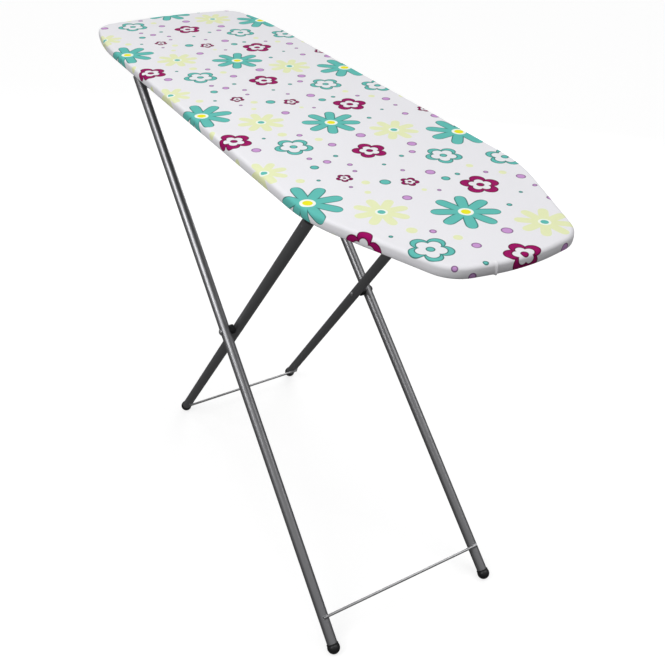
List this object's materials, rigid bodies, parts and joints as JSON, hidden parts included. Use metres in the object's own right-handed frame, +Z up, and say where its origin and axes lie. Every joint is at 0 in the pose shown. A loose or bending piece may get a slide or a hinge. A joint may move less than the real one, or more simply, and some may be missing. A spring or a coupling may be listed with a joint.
{
  "type": "ironing board",
  "caption": "Folding ironing board: a padded, cloth-covered steel board with a blunt tail and a tapered nose on two crossing pairs of tubular legs.",
  "frame": {"origin": "on the floor under the middle of the board, standing open", "axes": "+X towards the nose, +Y to the left of a user looking at the nose from the tail, +Z up"},
  "size_m": [1.2089, 0.376, 0.85],
  "materials": {
    "leg_paint": "silver-grey metallic lacquer, satin",
    "cross_wire": "bright zinc-plated wire",
    "foot_plastic": "black moulded plastic",
    "spacer_plastic": "black moulded plastic",
    "rivet_metal": "bright rivet heads",
    "axle_steel": "zinc-plated steel",
    "pressed_steel": "silver-grey lacquer",
    "panel_paint": "silver-grey lacquered perforated sheet",
    "felt": "needled felt pad",
    "printed_cotton": "white woven cotton with a printed flower pattern"
  },
  "bodies": {
    "board": {"board_panel": "panel_paint", "felt_pad": "felt", "cotton_cover": "printed_cotton", "hinge_bracket_left": "pressed_steel", "hinge_bracket_right": "pressed_steel", "bracket_rivets": "rivet_metal", "hinge_axle": "axle_steel", "hinge_washers": "spacer_plastic", "height_rack": "pressed_steel", "rack_rivets": "rivet_metal"},
    "outer_legs": {"outer_leg_left": "leg_paint", "outer_leg_right": "leg_paint", "outer_cross_rod": "cross_wire", "outer_foot_cap_left": "foot_plastic", "outer_foot_cap_right": "foot_plastic", "pivot_rivet_left": "rivet_metal", "pivot_rivet_right": "rivet_metal", "pivot_spacer_left": "spacer_plastic", "pivot_spacer_right": "spacer_plastic"},
    "inner_legs": {"inner_leg_left": "leg_paint", "inner_leg_right": "leg_paint", "top_bar": "axle_steel", "bar_sleeve": "spacer_plastic", "inner_cross_rod": "cross_wire", "inner_foot_cap_left": "foot_plastic", "inner_foot_cap_right": "foot_plastic"}
  },
  "joints": [
    {"name": "fold", "type": "hinge", "parent": "board", "child": "outer_legs", "pos_m": [-0.37309, 0, 0.79], "axis": [0, -1, 0], "range_deg": [0, 41]},
    {"name": "scissor", "type": "hinge", "parent": "outer_legs", "child": "inner_legs", "pos_m": [0.02073, 0, 0.42908], "axis": [0, 1, 0], "range_deg": [0, 92.8]}
  ],
  "couplings": [
    {"joint": "scissor", "follows": "fold", "ratio": 2.2616}
  ]
}
